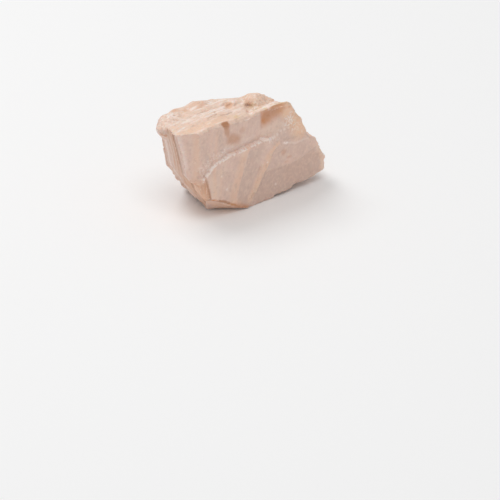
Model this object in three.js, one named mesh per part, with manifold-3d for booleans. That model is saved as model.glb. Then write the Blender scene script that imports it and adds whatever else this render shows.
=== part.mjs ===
// Rough moonstone: one broken cleavage block of peach feldspar, as it comes out of the ground.
// Two cleavages at right angles give it a level top and a stepped, pearly front. The rest is
// uneven fracture. The stone is one solid in one node, in millimetres, +Z up, with its origin
// at the middle of its bounding box, on the surface that it rests on.
import * as THREE from 'three';
import { mergeVertices } from 'three/addons/utils/BufferGeometryUtils.js';
import { TessellateModifier } from 'three/addons/modifiers/TessellateModifier.js';
import { ImprovedNoise } from 'three/addons/math/ImprovedNoise.js';
import Module from 'manifold-3d';

const wasm = await Module();
wasm.setup();

// Driving dimensions. A working frame has its origin on the ground at the stone's front foot.
const TOP = 26.4; // height of the top cleavage face at its left end
const TOP_LEAN = 1.9; // degrees by which the top rises to the right
const SHELF = 26.6; // height of the top's lower part, right of the gully
const FRONT = 38; // azimuth that the front cleavage faces, from -Y towards +X
const SET = 0.1; // how far out the rearmost level of the front stands
const PLATE = 0.6; // thickness of each of the two plates that the front carries
const PLATE_EDGE = 0.5; // worn, sloping edge of a plate, along the plate
const RECESS = 0.3; // drop from the outer plate to its right half
const LOW_RECESS = 0.5; // drop from the outer plate to its lower right corner
const RECESS_EDGE = 1.1; // worn, sloping edge of both drops, along the plate
const CUT_EDGE = 0.45; // sloping edge of the other cuts
const INSIDE = -3; // level inside the stone that the plates start from
const OUTSIDE = 9; // level clear of the stone that the cuts into the front reach to
const BLOCK = 120; // uncut block, larger than the stone every way
const GRAIN = 2.6; // longest edge of the finished surface's triangles
const COARSE = { size: 5.5, height: 0.42 }; // uneven fracture: spacing and height of its swells
const FINE = { size: 2.3, height: 0.2 }; // the same for its smaller bumps
const CLEAN = 0.08; // share of that unevenness which the front cleavage keeps
const SIDE_CLEAN = 0.3; // the same for the left side and the walls of the notches
const TOP_CLEAN = 0.55; // the same for the top
const ON_PLANE = 0.02; // a point this near to a plane lies on it
const LOWEST = 0.4; // share of its height that a point keeps at least
const KNOBBLE = 0.3; // how far a lump or a hollow strays from a plain ball, as a share of it
const KNOBS = 1.4; // how close together its knobs are
const MOONSTONE = { color: 0xd9b8a0, roughness: 0.45, metalness: 0 };

const TOP_FACE = { azimuth: -60, rise: 90 - TOP_LEAN, through: [-17.2, -8.9, TOP] };
const FRONT_FACE = { azimuth: FRONT, rise: 0 };
const LEFT_FRONT = { azimuth: 6, rise: 0, through: [-10.64, -8.44, 0] };
const LEFT_SIDE = { azimuth: -60, rise: -12, through: [-17.2, -8.9, 26.6] };

// The planes that bound the stone. Each faces an azimuth and a rise above the horizon, and
// passes through a point. The first two make the corner that the plates are laid on.
const CORNER = [{ ...FRONT_FACE, through: LEFT_FRONT.through }, LEFT_FRONT];
const FACES = [
  TOP_FACE,
  LEFT_SIDE,
  { azimuth: FRONT, rise: 45, through: [-11.6, -8.0, 26.95] }, // worn top front edge
  { azimuth: -60, rise: -33, through: [-12.1, -8.6, 10.9] }, // left side, lower half
  { azimuth: -112, rise: -5, through: [-21.3, 1.5, 26.6] }, // left back
  { azimuth: 128, rise: 28, through: [21.6, 14.7, 10.4] }, // right end
  { azimuth: 128, rise: -14, through: [22.5, 16.2, 5.7] }, // right foot
  { azimuth: 216, rise: 16, through: [-14, 9.1, 26.6] }, // back
  { azimuth: 176, rise: 34, through: [2, 11.1, 26.6] }, // back slope
  { azimuth: 190, rise: -24, through: [0, 24, 6] }, // back foot
  { azimuth: 0, rise: -90, through: [0, 0, 0] }, // flat spot that the stone rests on
  { azimuth: -3, rise: -50, through: [-6.1, -6.8, 5.9] }, // front foot
  { azimuth: 46, rise: -52, through: [11.7, 7.1, 1.8] }, // underside of the front's right half
  { azimuth: -8, rise: -78, through: [-3, 2, 0] }, // sole, in front of the flat spot
  { azimuth: -75, rise: -74, through: [-9, 8, 0] }, // sole, left of it
  { azimuth: 172, rise: -75, through: [0, 15.5, 0] }, // sole, behind it
  { azimuth: 84, rise: -79, through: [6.5, 10, 0] }, // sole, right of it
];

// Outlines on the front cleavage, as distance along it to the right and height.
const PLATE_A = [
  [-11.4, 1], [-11.8, 5], [-12.3, 8], [-12.9, 11.2], [-13.6, 14.2], [-12.8, 15.8], [-11.4, 17.3],
  [-10, 18.3], [-8.2, 18.6], [-6.6, 18.2], [-4.3, 18], [-0.6, 18.4], [3, 18.9], [5.8, 19],
  [9.5, 18.5], [11.4, 18.6], [14, 19.6], [16.5, 20.5], [19.5, 22.3], [34, 27], [34, -6],
  [-8, -6],
];
const PLATE_B = [
  [-11.3, 1], [-11.6, 4.5], [-12.1, 8], [-12.7, 11], [-13.2, 14], [-11.4, 15.6], [-9.6, 17],
  [-6.2, 17.4], [-1.6, 18], [2.4, 18.5], [5.7, 18.4], [9, 17.8], [11.7, 15.6], [14, 15.2],
  [17.2, 14.9], [21.2, 15], [34, 14.4], [34, -6], [-8, -6],
];
const RIGHT_HALF = [
  [12.4, 22], [10.4, 15.3], [8.9, 12.2], [6.5, 10.1], [4.6, 6.8], [3.3, 3.1], [1.6, -6], [36, -6],
  [36, 22],
];
const RIGHT_CORNER = [
  [6.5, 10.1], [11, 9.4], [16, 9.1], [19.2, 10.6], [24.4, 10.7], [36, 11.4], [36, -6], [1.6, -6],
  [3.3, 3.1], [4.6, 6.8],
];
const RIGHT_JOG = [[22.6, 15.2], [36, 14.6], [36, 40], [10.9, 40]];
// Strips of the left side, each a step lower than the one before it, counted from the front.
const LEFT_STRIPS = [
  { from: 1.9, drop: 0.35 },
  { from: 5.2, drop: 0.5 },
];
// Steps broken out of the hidden sides along both cleavages: spans along the front, in height,
// and in distance out from the front's rearmost level.
const NOTCHES = [
  { along: [-60, 4.5], up: [17.2, 60], out: [-60, -13.8] },
  { along: [-60, 1.2], up: [14.4, 60], out: [-60, -15.3] },
  { along: [-60, -2.4], up: [11.2, 60], out: [-60, -16.8] },
  { along: [-60, -9.2], up: [8.4, 60], out: [-60, -18.2] },
  { along: [9.5, 60], up: [8.6, 60], out: [-60, -8.6] },
  { along: [6.6, 60], up: [12.4, 60], out: [-60, -10.2] },
  { along: [12.6, 60], up: [6.8, 60], out: [-60, -11.6] },
  { along: [14.8, 60], up: [10.6, 60], out: [-60, -6.9] },
  { along: [13.5, 60], up: [-60, 4.6], out: [-60, -9.4] },
  { along: [-60, -6.5], up: [-60, 5.2], out: [-60, -10.6] },
  { along: [-60, -9.6], up: [-60, 7.2], out: [-60, -13.4] },
];
// Outline of the top's lower part, as X and Y.
const SHELF_OUTLINE = [
  [1.6, -6], [2, 2], [1.7, 4.2], [1.9, 6], [1, 7.8], [1.2, 9.6], [0.3, 11.4], [0.6, 30], [40, 30],
  [40, -6],
];

// Rounded lumps that stand out of the stone, and hollows scooped into it: centre, radii, and
// the azimuth that the first radius runs along, from +X.
const LUMPS = [
  { at: [3.9, 10.4, 25.3], radii: [5.2, 3.6, 3.5], turn: 12 }, // knob at the back of the top
  { at: [4.6, 12.4, 17.5], radii: [7.5, 4.2, 8], turn: 8 }, // swell below the knob, behind
  { at: [0.9, 11.3, 25.4], radii: [2.6, 2.2, 2.2], turn: 0 },
  { at: [6.6, 9.2, 25], radii: [2.5, 2, 2.1], turn: 30 },
  { at: [-18.9, 1.2, 24], radii: [3.5, 4.8, 3], turn: -20 }, // nose at the top left corner
  { at: [-18.8, -1.2, 24.3], radii: [3.2, 4, 2.5], turn: -14 },
  { at: [-17.9, 0, 25.1], radii: [3.5, 4.6, 2], turn: -18 },
  { at: [-16.4, 4.6, 25.5], radii: [3, 3.2, 1.6], turn: 0 },
  { at: [-12.3, 7, 26.1], radii: [4.6, 2.4, 1.5], turn: 40 }, // swell at the back of the top
  { at: [-12.5, 2, 26.4], radii: [6.5, 0.9, 0.55], turn: 38 }, // ridges on the top
  { at: [-8, -0.6, 26.5], radii: [5.6, 0.8, 0.5], turn: 36 },
  { at: [-6.4, 6.4, 26.8], radii: [5.8, 1, 0.6], turn: 40 },
  { at: [-13, -4.2, 26.2], radii: [4.4, 0.9, 0.5], turn: 35 },
  { at: [-1.5, 8.4, 27.2], radii: [3.2, 1.3, 0.55], turn: 37 },
  { at: [7.6, 7.6, 26.1], radii: [3.4, 0.9, 0.55], turn: 38 },
];
const HOLLOWS = [
  { at: [2.3, 5.4, 26.9], radii: [1.3, 4, 0.7], turn: 8 }, // gully beside the knob
  { at: [-3.4, 5.6, 28], radii: [1.6, 1.6, 1.5], turn: 0 }, // pit in the top
  { at: [-14.6, 1.2, 27.6], radii: [2.6, 1.2, 1.4], turn: 30 },
  { at: [-24.1, 1.5, 19.8], radii: [2.7, 6.5, 2.4], turn: -20 }, // undercut below the nose
  { at: [14.5, 8.1, 21.4], radii: [2.4, 2, 2.1], turn: 38 }, // shell-shaped chips, right edge
  { at: [17.2, 10.6, 18.6], radii: [1.9, 1.6, 1.7], turn: 38 },
  { at: [8.5, 17.8, 29], radii: [9, 7, 9], turn: 0 }, // broad shell-shaped breaks behind
  { at: [-15, 19, 22], radii: [9, 8, 10], turn: 40 },
  { at: [4, 30.5, 12], radii: [11, 8, 7], turn: 0 },
  { at: [24.5, 22, 14], radii: [5, 8, 7], turn: 20 },
];

const noise = new ImprovedNoise();

function direction(azimuth, rise) {
  const a = THREE.MathUtils.degToRad(azimuth);
  const r = THREE.MathUtils.degToRad(rise);
  return new THREE.Vector3(Math.sin(a) * Math.cos(r), -Math.cos(a) * Math.cos(r), Math.sin(r));
}

// A matrix whose X runs level along a face, Y up it and Z out of it, standing at a point.
function standing(face, at) {
  const out = direction(face.azimuth, face.rise);
  const a = THREE.MathUtils.degToRad(face.azimuth);
  const along = new THREE.Vector3(Math.cos(a), Math.sin(a), 0);
  const up = new THREE.Vector3().crossVectors(out, along);
  return new THREE.Matrix4().makeBasis(along, up, out).setPosition(at);
}

// A solid from a closed three.js geometry, and a geometry from a solid.
function solidOf(geometry) {
  const bare = geometry.index ? geometry.toNonIndexed() : geometry.clone();
  for (const name of Object.keys(bare.attributes)) {
    if (name !== 'position') bare.deleteAttribute(name);
  }
  const merged = mergeVertices(bare, 1e-4);
  return new wasm.Manifold(
    new wasm.Mesh({
      numProp: 3,
      vertProperties: new Float32Array(merged.attributes.position.array),
      triVerts: new Uint32Array(merged.index.array),
    }),
  );
}

function geometryOf(solid) {
  const mesh = solid.getMesh();
  return new THREE.BufferGeometry()
    .setAttribute('position', new THREE.BufferAttribute(mesh.vertProperties, 3))
    .setIndex(new THREE.BufferAttribute(mesh.triVerts, 1));
}

function cutPlanes(solid, faces) {
  return faces.reduce((left, face) => {
    const beyond = new THREE.BoxGeometry(2 * BLOCK, 2 * BLOCK, BLOCK);
    beyond.translate(0, 0, BLOCK / 2);
    beyond.applyMatrix4(standing(face, new THREE.Vector3(...face.through)));
    return left.subtract(solidOf(beyond));
  }, solid);
}

// A slab with an outline, between two levels, whose sides slope in by an edge towards both
// levels, over a rise that is as high as the edge is wide unless it is given.
function slab(outline, from, to, edge, rise = edge) {
  const shape = new THREE.Shape(outline.map(([x, y]) => new THREE.Vector2(x, y)));
  const bevel = Math.min(rise, (to - from) / 3);
  const geometry = new THREE.ExtrudeGeometry(shape, {
    depth: to - from - 2 * bevel,
    bevelThickness: bevel,
    bevelSize: edge,
    bevelSegments: 1,
  });
  return geometry.translate(0, 0, from + bevel);
}

const onFront = standing(FRONT_FACE, direction(FRONT, 0).multiplyScalar(SET));

function layPlates(stone) {
  const inner = slab(PLATE_A, INSIDE, PLATE, PLATE_EDGE);
  const outer = slab(PLATE_B, INSIDE, 2 * PLATE, PLATE_EDGE);
  const right = slab(RIGHT_HALF, 2 * PLATE - RECESS, OUTSIDE, RECESS_EDGE, RECESS);
  const corner = slab(RIGHT_CORNER, 2 * PLATE - LOW_RECESS, OUTSIDE, RECESS_EDGE, RECESS);
  const jog = slab(RIGHT_JOG, -BLOCK, OUTSIDE, CUT_EDGE);
  return stone
    .add(solidOf(inner.applyMatrix4(onFront)))
    .add(solidOf(outer.applyMatrix4(onFront)))
    .subtract(solidOf(right.applyMatrix4(onFront)))
    .subtract(solidOf(corner.applyMatrix4(onFront)))
    .subtract(solidOf(jog.applyMatrix4(onFront)));
}

// Steps down the left side: each strip begins a distance behind the front corner.
function stepLeftSide(stone) {
  return LEFT_STRIPS.reduce((left, strip) => {
    const box = new THREE.BoxGeometry(BLOCK, BLOCK, BLOCK);
    box.translate(-strip.from - BLOCK / 2, 0, BLOCK / 2 - strip.drop);
    box.applyMatrix4(standing(LEFT_SIDE, new THREE.Vector3(...LEFT_SIDE.through)));
    return left.subtract(solidOf(box));
  }, stone);
}

function notch(stone) {
  return NOTCHES.reduce((left, { along, up, out }) => {
    const box = new THREE.BoxGeometry(along[1] - along[0], up[1] - up[0], out[1] - out[0]);
    box.translate((along[0] + along[1]) / 2, (up[0] + up[1]) / 2, (out[0] + out[1]) / 2);
    return left.subtract(solidOf(box.applyMatrix4(onFront)));
  }, stone);
}

function lowerShelf(stone) {
  return stone.subtract(solidOf(slab(SHELF_OUTLINE, SHELF, SHELF + OUTSIDE, CUT_EDGE)));
}

// A knobbly ball, with more faces the larger it is.
function rounded({ at, radii, turn }) {
  const size = (radii[0] + radii[1] + radii[2]) / 3;
  const ball = new THREE.IcosahedronGeometry(1, THREE.MathUtils.clamp(Math.round(size / 1.7), 1, 3));
  const position = ball.attributes.position;
  const point = new THREE.Vector3();
  for (let i = 0; i < position.count; i++) {
    point.fromBufferAttribute(position, i);
    const where = point.clone().multiplyScalar(KNOBS).add(new THREE.Vector3(...at));
    point.multiplyScalar(1 + KNOBBLE * noise.noise(where.x, where.y, where.z));
    position.setXYZ(i, point.x, point.y, point.z);
  }
  ball.scale(...radii);
  ball.rotateZ(THREE.MathUtils.degToRad(turn));
  return solidOf(ball.translate(...at));
}

// Planes that the roughening leaves nearly flat, as a normal and a distance.
const FRONT_LEVELS = [0, PLATE, 2 * PLATE, 2 * PLATE - RECESS, 2 * PLATE - LOW_RECESS];
const CLEAVED = [
  ...FRONT_LEVELS.map((level) => plane(direction(FRONT, 0), SET + level, CLEAN)),
  ...NOTCHES.map(({ out }) => plane(direction(FRONT, 0), SET + out[1], SIDE_CLEAN)),
  planeOf(LEFT_FRONT, CLEAN),
  planeOf(LEFT_SIDE, SIDE_CLEAN),
  ...LEFT_STRIPS.map(({ drop }) => planeOf(LEFT_SIDE, SIDE_CLEAN, drop)),
  planeOf(TOP_FACE, TOP_CLEAN),
  plane(direction(0, 90), SHELF, TOP_CLEAN),
  plane(direction(0, 90), 0, 0),
];

function plane(normal, distance, keep) {
  return { normal, distance, keep };
}

function planeOf(face, keep, drop = 0) {
  const normal = direction(face.azimuth, face.rise);
  return plane(normal, normal.dot(new THREE.Vector3(...face.through)) - drop, keep);
}

// The shift that one scale of roughness gives a point.
function swell(point, { size, height }, seed) {
  const at = (shift) =>
    noise.noise(point.x / size + shift, point.y / size + seed, point.z / size - shift);
  return new THREE.Vector3(at(3.1), at(17.7), at(41.3)).multiplyScalar(2 * height);
}

// Breaks the flat facets up into small ones and roughens them. The flat spot stays flat, and
// nothing beside it is pushed down to its level.
function roughen(solid) {
  const flat = geometryOf(solid).toNonIndexed();
  const fine = mergeVertices(new TessellateModifier(GRAIN, 14).modify(flat), 1e-4);
  const position = fine.attributes.position;
  const point = new THREE.Vector3();
  for (let i = 0; i < position.count; i++) {
    point.fromBufferAttribute(position, i);
    const lowest = LOWEST * point.z;
    const shift = swell(point, COARSE, 5.3).add(swell(point, FINE, 71.9));
    for (const { normal, distance, keep } of CLEAVED) {
      if (Math.abs(normal.dot(point) - distance) < ON_PLANE) {
        shift.addScaledVector(normal, (keep - 1) * normal.dot(shift));
      }
    }
    point.add(shift);
    position.setXYZ(i, point.x, point.y, Math.max(point.z, lowest));
  }
  return solidOf(fine);
}

let stone = cutPlanes(solidOf(new THREE.BoxGeometry(BLOCK, BLOCK, BLOCK)), CORNER);
stone = layPlates(stone);
stone = cutPlanes(stone, FACES);
stone = stepLeftSide(stone);
stone = lowerShelf(stone);
stone = notch(stone);
for (const lump of LUMPS) {
  stone = stone.add(rounded(lump));
}
for (const hollow of HOLLOWS) {
  stone = stone.subtract(rounded(hollow));
}

const skin = geometryOf(roughen(stone));
skin.computeBoundingBox();
const middle = skin.boundingBox.getCenter(new THREE.Vector3());
skin.translate(-middle.x, -middle.y, -skin.boundingBox.min.z);

const mesh = new THREE.Mesh(skin, new THREE.MeshStandardMaterial(MOONSTONE));
mesh.name = 'moonstone';
const group = new THREE.Group();
group.add(mesh);
export default group;
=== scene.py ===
# %% [markdown]
# # A rough moonstone
#
# Moonstone is a feldspar. It splits along two flat planes at a right angle, and everywhere
# else it breaks unevenly. This script takes the plain solid of one such stone, refines its
# surface, gives it a pearly, slightly see-through finish, and lights it on a pale floor.
# Lengths are in millimetres until the last moment, because a stone this small is easier to
# think about that way. Blender itself works in metres.

# %% Load the plain solid
import math

import bmesh
import bpy
import numpy as np
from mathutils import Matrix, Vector, noise


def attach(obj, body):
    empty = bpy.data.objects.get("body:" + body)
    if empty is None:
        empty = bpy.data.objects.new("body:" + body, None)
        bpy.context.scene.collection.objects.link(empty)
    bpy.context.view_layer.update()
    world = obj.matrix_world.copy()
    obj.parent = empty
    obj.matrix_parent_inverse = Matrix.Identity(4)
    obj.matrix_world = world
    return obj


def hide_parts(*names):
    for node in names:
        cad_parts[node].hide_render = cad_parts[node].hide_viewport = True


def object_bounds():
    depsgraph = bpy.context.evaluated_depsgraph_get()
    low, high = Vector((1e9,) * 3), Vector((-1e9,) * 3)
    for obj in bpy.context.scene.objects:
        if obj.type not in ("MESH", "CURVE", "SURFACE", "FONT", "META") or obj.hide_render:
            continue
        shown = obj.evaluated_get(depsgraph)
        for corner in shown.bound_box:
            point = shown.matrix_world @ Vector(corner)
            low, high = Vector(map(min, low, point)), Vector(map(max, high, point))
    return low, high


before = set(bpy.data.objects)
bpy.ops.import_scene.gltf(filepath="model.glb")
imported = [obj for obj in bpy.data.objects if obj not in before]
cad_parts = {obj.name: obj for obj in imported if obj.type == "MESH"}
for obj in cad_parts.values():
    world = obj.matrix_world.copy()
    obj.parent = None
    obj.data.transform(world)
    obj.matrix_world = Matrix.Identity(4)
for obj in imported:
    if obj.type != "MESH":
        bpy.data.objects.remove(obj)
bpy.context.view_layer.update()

MM = 0.001
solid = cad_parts["moonstone"]
print("plain solid:", len(solid.data.polygons), "triangles")

# %% [markdown]
# ## Directions
#
# Most of what we add follows the stone's own planes. We could type their angles wherever we
# need them, but a name says what is meant, so they get names first. An azimuth of 0 faces -Y,
# the side the camera looks at, and 90 faces +X. The front cleavage stands upright at 38.

# %% Name the stone's planes
def facing(azimuth, rise):
    """The unit vector that faces an azimuth and a rise above the horizon, in degrees."""
    a, r = math.radians(azimuth), math.radians(rise)
    return np.array([math.sin(a) * math.cos(r), -math.cos(a) * math.cos(r), math.sin(r)])


FRONT = facing(38, 0)
ALONG = facing(128, 0)
LEFT_FRONT = facing(6, 0)
LEFT_SIDE = facing(-60, -12)
TOP = facing(-60, 88.1)
TOWARDS_CAMERA = facing(0, 28)
print("angle between top and front:", round(math.degrees(math.acos(TOP @ FRONT)), 1), "degrees")

# %% [markdown]
# ## An even skin
#
# The solid is a few thousand triangles of very different sizes. To model chips and ridges we
# need many small faces of one size. A subdivision would only split the triangles we have. A
# voxel remesh makes new ones: it fills the stone with little cubes and wraps a skin of even
# squares round them. It rounds the edges a little, so a shrinkwrap then lays the skin back on
# the solid. We work on a merged copy, because the solid itself stays as it is.

# %% Wrap a new skin round the stone
SKIN = 0.25  # side of the skin's squares
SAME_CORNER = 1e-7  # corners of triangles nearer than this, in metres, are one corner

bm = bmesh.new()
bm.from_mesh(solid.data)
bmesh.ops.remove_doubles(bm, verts=bm.verts, dist=SAME_CORNER)
mesh = bpy.data.meshes.new("stone")
bm.to_mesh(mesh)
bm.free()
mesh.materials.clear()
stone = bpy.data.objects.new("stone", mesh)
bpy.context.scene.collection.objects.link(stone)
remesh = stone.modifiers.new("skin", "REMESH")
remesh.mode = "VOXEL"
remesh.voxel_size = SKIN * MM
stone.modifiers.new("fit", "SHRINKWRAP").target = solid
evaluated = stone.evaluated_get(bpy.context.evaluated_depsgraph_get())
stone.data = bpy.data.meshes.new_from_object(evaluated)
stone.data.name = "stone"
stone.modifiers.clear()
print("skin:", len(stone.data.polygons), "squares")

# %% [markdown]
# ## Tools for shaping
#
# The real surface was made by breaking and by wear. A sculptor would follow it with brushes.
# We do it with arithmetic instead, which gives the same stone every time: the skin's points
# go into one array, and a few tools work on all of them at once. One averages each point with
# its neighbours, one makes cloudy noise of a chosen size, two make soft steps, up or down, and
# one keeps the strongest of several numbers, so that they don't add up where they meet.

# %% Read the skin into arrays
def read(items, key):
    """One vector for each item, as rows of an array."""
    flat = np.empty(len(items) * 3, np.float32)
    items.foreach_get(key, flat)
    return flat.reshape(-1, 3).astype(float)


points = read(stone.data.vertices, "co") / MM
pairs = np.empty(len(stone.data.edges) * 2, np.int32)
stone.data.edges.foreach_get("vertices", pairs)
pairs = pairs.reshape(-1, 2)
neighbours = np.bincount(pairs.ravel(), minlength=len(points))
print("points:", len(points))


# %% Define the shaping tools
def soften(values, rounds):
    """Averages each point's value with its neighbours', so many times."""
    for _ in range(rounds):
        total = np.empty_like(values)
        for column in range(values.shape[1]):
            there = np.bincount(pairs[:, 0], values[pairs[:, 1], column], len(values))
            back = np.bincount(pairs[:, 1], values[pairs[:, 0], column], len(values))
            total[:, column] = there + back
        values = 0.5 * values + 0.5 * total / neighbours[:, None]
    return values


def cloud(at, size, octaves, seed):
    """Noise between about -1 and 1 at each place. Size is one length, or one for each axis."""
    scaled = at / np.asarray(size, float) + np.array([seed, 2.3 * seed, -1.7 * seed])
    return np.array([noise.fractal(Vector(p), 1.0, 2.0, octaves) for p in scaled])


def fade(value, start, end):
    """0 before start, 1 after end, and a smooth step between them."""
    t = np.clip((value - start) / (end - start), 0, 1)
    return t * t * (3 - 2 * t)


def fade_out(value, start, end):
    """1 before start, 0 after end, and a smooth step between them."""
    return fade(-value, -end, -start)


def strongest(*values):
    """The largest of several values at each point."""
    return np.maximum.reduce(values)


print("a quarter of the way, a fade is at", fade(0.25, 0, 1))

# %% [markdown]
# ## Sharp or hollow
#
# Edges are what chips off and bruises, and hollows are what dirt stays in, so both have to be
# found. Blender has an angle between faces, but that sees only one square of the skin. We
# compare each point with its softened surroundings: an edge stands out of them, and a hollow
# lies behind them. More rounds of softening find broader shapes.

# %% Define the way the skin faces, and how it bends
def normals():
    """Puts the points back into the mesh, and gives the way that each of them faces."""
    stone.data.vertices.foreach_set("co", (points * MM).astype(np.float32).ravel())
    stone.data.update()
    return read(stone.data.vertices, "normal")


def bend(rounds):
    """How far each point stands out of its softened surroundings: below 0 in a hollow."""
    return np.einsum("ij,ij->i", points - soften(points, rounds), soften(normals(), 4))


soft_normals = soften(normals(), 6)
soft_normals /= np.linalg.norm(soft_normals, axis=1)[:, None]
towards_camera = soft_normals @ TOWARDS_CAMERA
print("share of the skin that faces the camera:", round(float((towards_camera > 0).mean()), 2))

# %% [markdown]
# ## Where it is cleaved and where it is broken
#
# The cleavages are smooth and shiny, and the rest is rough. We could paint them by hand, but a
# point belongs to a cleavage if the skin round it faces that way, so its normal tells. What is
# left over is fracture. A place on the front is given by how far along it to the right it is
# and how high up, and a third number says how far ahead of the stone's middle.

# %% Sort the points by the plane they lie on
def parallel(way, loose=0.9, tight=0.985):
    """1 where the skin faces that way. Loose and tight are cosines."""
    return fade(soft_normals @ way, loose, tight)


on_front = parallel(FRONT)
on_left_front = parallel(LEFT_FRONT)
on_left_side = parallel(LEFT_SIDE)
on_top = parallel(TOP, 0.86, 0.97)
cleaved = strongest(on_front, on_left_front, 0.8 * on_left_side, 0.35 * on_top)
broken = 1 - cleaved
across = points @ np.column_stack([ALONG, FRONT, [0, 0, 1]])
along, ahead, up = across.T
face = across[:, [0, 2]]
print("cleaved share of the skin:", round(float(cleaved.mean()), 2))

# %% [markdown]
# ## Chips
#
# A rough stone is what is left after many small breaks, and its edges are full of chips. A
# boolean for each chip would be slow, and it tears thin edges. So whatever stands above a
# little plane is pushed down to it. The plane faces the way the skin does there, give or take
# a random tilt, and no cut goes deeper than twice the chip's own depth. The random numbers
# start from a fixed seed, so the chips are the same each time.

# %% Define a chip
chooser = np.random.default_rng(11)
cut = np.zeros(len(points))  # how deep each point lies in the chips


def chip(middle, out, depth, reach):
    """Cuts what stands above a plane that faces out down to that plane. Reach is half the
    size of the block that it is cut in: along the front, ahead of it, and up."""
    near = np.flatnonzero((np.abs(across - across[middle]) < reach).all(axis=1))
    rim = (((across[near] - across[middle]) / reach) ** 4).sum(axis=1)
    slope = soft_normals[near] @ out
    above = (points[near] - points[middle]) @ out + depth
    deep = np.clip(above / np.clip(slope, 0.4, 1), 0, 2 * depth)
    deep *= fade_out(rim, 0.3, 1) * fade(slope, 0.1, 0.3)
    cut[near] = np.maximum(cut[near], deep)


def knock(where, count, sizes, depth, tilt):
    """Takes chips, from small to large sizes, off places where it is true. The depth is a
    share of the size."""
    for middle in chooser.choice(np.flatnonzero(where), count, replace=False):
        out = soft_normals[middle] + chooser.normal(0, tilt, 3)
        size = chooser.uniform(*sizes)
        reach = size * chooser.uniform(0.6, 1.5, 3)
        chip(middle, out / np.linalg.norm(out), depth * size, reach)
    print(count, "chips from", sizes[0], "to", sizes[1], "mm")


# %% Find the places that chip
EDGE_BEND, RIM_BEND = 0.09, 0.05  # how far the points of an edge or a rim stand out
HIDDEN_BELOW = 21.5  # the top of what only shows from behind
SHELLY_PLACE, SHELLY_REACH = (11.4, 20.9), 1.9  # a spot of little shell-shaped breaks

sharpness = bend(12)
sharp = (sharpness > EDGE_BEND) & (up > 0.6)
unseen = (towards_camera < -0.2) & (up < HIDDEN_BELOW)
front_edges = (ahead > 2.5) & (up < 24)
foot_rim = (sharpness > RIM_BEND) & (ahead > 5.5) & (soft_normals[:, 2] < -0.1) & (up > 0.5)
shelly = (np.linalg.norm(face - SHELLY_PLACE, axis=1) < SHELLY_REACH) & (ahead > 5.5)
fractured = (broken > 0.8) & (up > 0.5)
print("sharp points:", int(sharp.sum()))

# %% Break the hidden sides, then chip the edges that show
knock(sharp & unseen, count=60, sizes=(1.8, 4.0), depth=0.17, tilt=0.3)
knock(fractured & unseen, count=260, sizes=(1.0, 2.6), depth=0.1, tilt=0.3)
knock(fractured & unseen, count=600, sizes=(0.5, 1.2), depth=0.13, tilt=0.3)
knock(sharp & unseen, count=200, sizes=(0.5, 1.4), depth=0.16, tilt=0.3)
cut *= fade_out(towards_camera, -0.55, -0.25)
knock(sharp & ~unseen & ~front_edges, count=70, sizes=(0.4, 1.0), depth=0.07, tilt=0.2)
knock(sharp & front_edges, count=160, sizes=(0.35, 0.9), depth=0.1, tilt=0.25)
knock(foot_rim, count=130, sizes=(0.4, 1.1), depth=0.13, tilt=0.3)
knock(shelly, count=14, sizes=(0.5, 0.9), depth=0.16, tilt=0.35)
points -= cut[:, None] * soft_normals
print("deepest cut:", round(float(cut.max()), 2), "mm")

# %% [markdown]
# ## Steps in the fracture
#
# Feldspar prefers to part along its cleavages, even where it breaks. That leaves the back in
# hackly little steps. They could be extruded one by one, but real ones start and end
# anywhere. Here the skin rises slowly over each pitch and drops back at once, which makes a
# tread and a riser, along each of three directions. Noise frays the risers, and more noise
# picks the places that have steps at all.

# %% Lay the fracture in steps that follow the cleavages
def steps(way, pitch, height, seed):
    """Treads that rise over each pitch and drop at ragged lines, strong in some places only."""
    wander = 1.6 * cloud(points, 7, 3, seed)
    fray = 0.15 * cloud(points, 1.2, 2, seed + 0.5)
    strength = fade(cloud(points, 4, 2, seed + 1.1), -0.1, 0.5)
    return height * strength * np.mod((points @ way + wander + fray) / pitch, 1)


turned_away = fade_out(towards_camera, -0.7, -0.4) * broken
turned_away *= fade(points[:, 2], 0.5, 1.5) * fade_out(points[:, 2], 20, 24)
stepped = steps(FRONT, pitch=2.6, height=0.55, seed=31.0)
stepped += steps(TOP, pitch=3.1, height=0.4, seed=35.0)
stepped += steps(ALONG, pitch=3.4, height=0.35, seed=38.0)
points -= (turned_away * stepped)[:, None] * soft_normals
print("steps behind, deepest:", round(float((turned_away * stepped).max()), 2), "mm")

# %% [markdown]
# ## Wear
#
# The top has lain open for long, so its gully, the back of its nose and its ridges are worn
# round. The plain solid also has steps in its front that are broader than the real ones. A
# bevel would round every edge alike. Softening the points, and only by as much as each place
# is worn, rounds the old shapes and leaves the fresh edges crisp. The small pit stays too.

# %% Define how far things are
def distance_to(at, places):
    """How far each point is from a line through the places."""
    nearest = np.full(len(at), 1e9)
    for a, b in zip(places, places[1:] + places[-1:]):
        a, way = np.array(a, float), np.array(b, float) - np.array(a, float)
        t = np.clip((at - a) @ way / max(way @ way, 1e-9), 0, 1)
        nearest = np.minimum(nearest, np.linalg.norm(at - a - t[:, None] * way, axis=1))
    return nearest


PIT = (-3.2, -1.6, 27.2)
from_pit = distance_to(points, [PIT])
print("nearest point to the middle of the pit:", round(float(from_pit.min()), 2), "mm")

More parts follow.
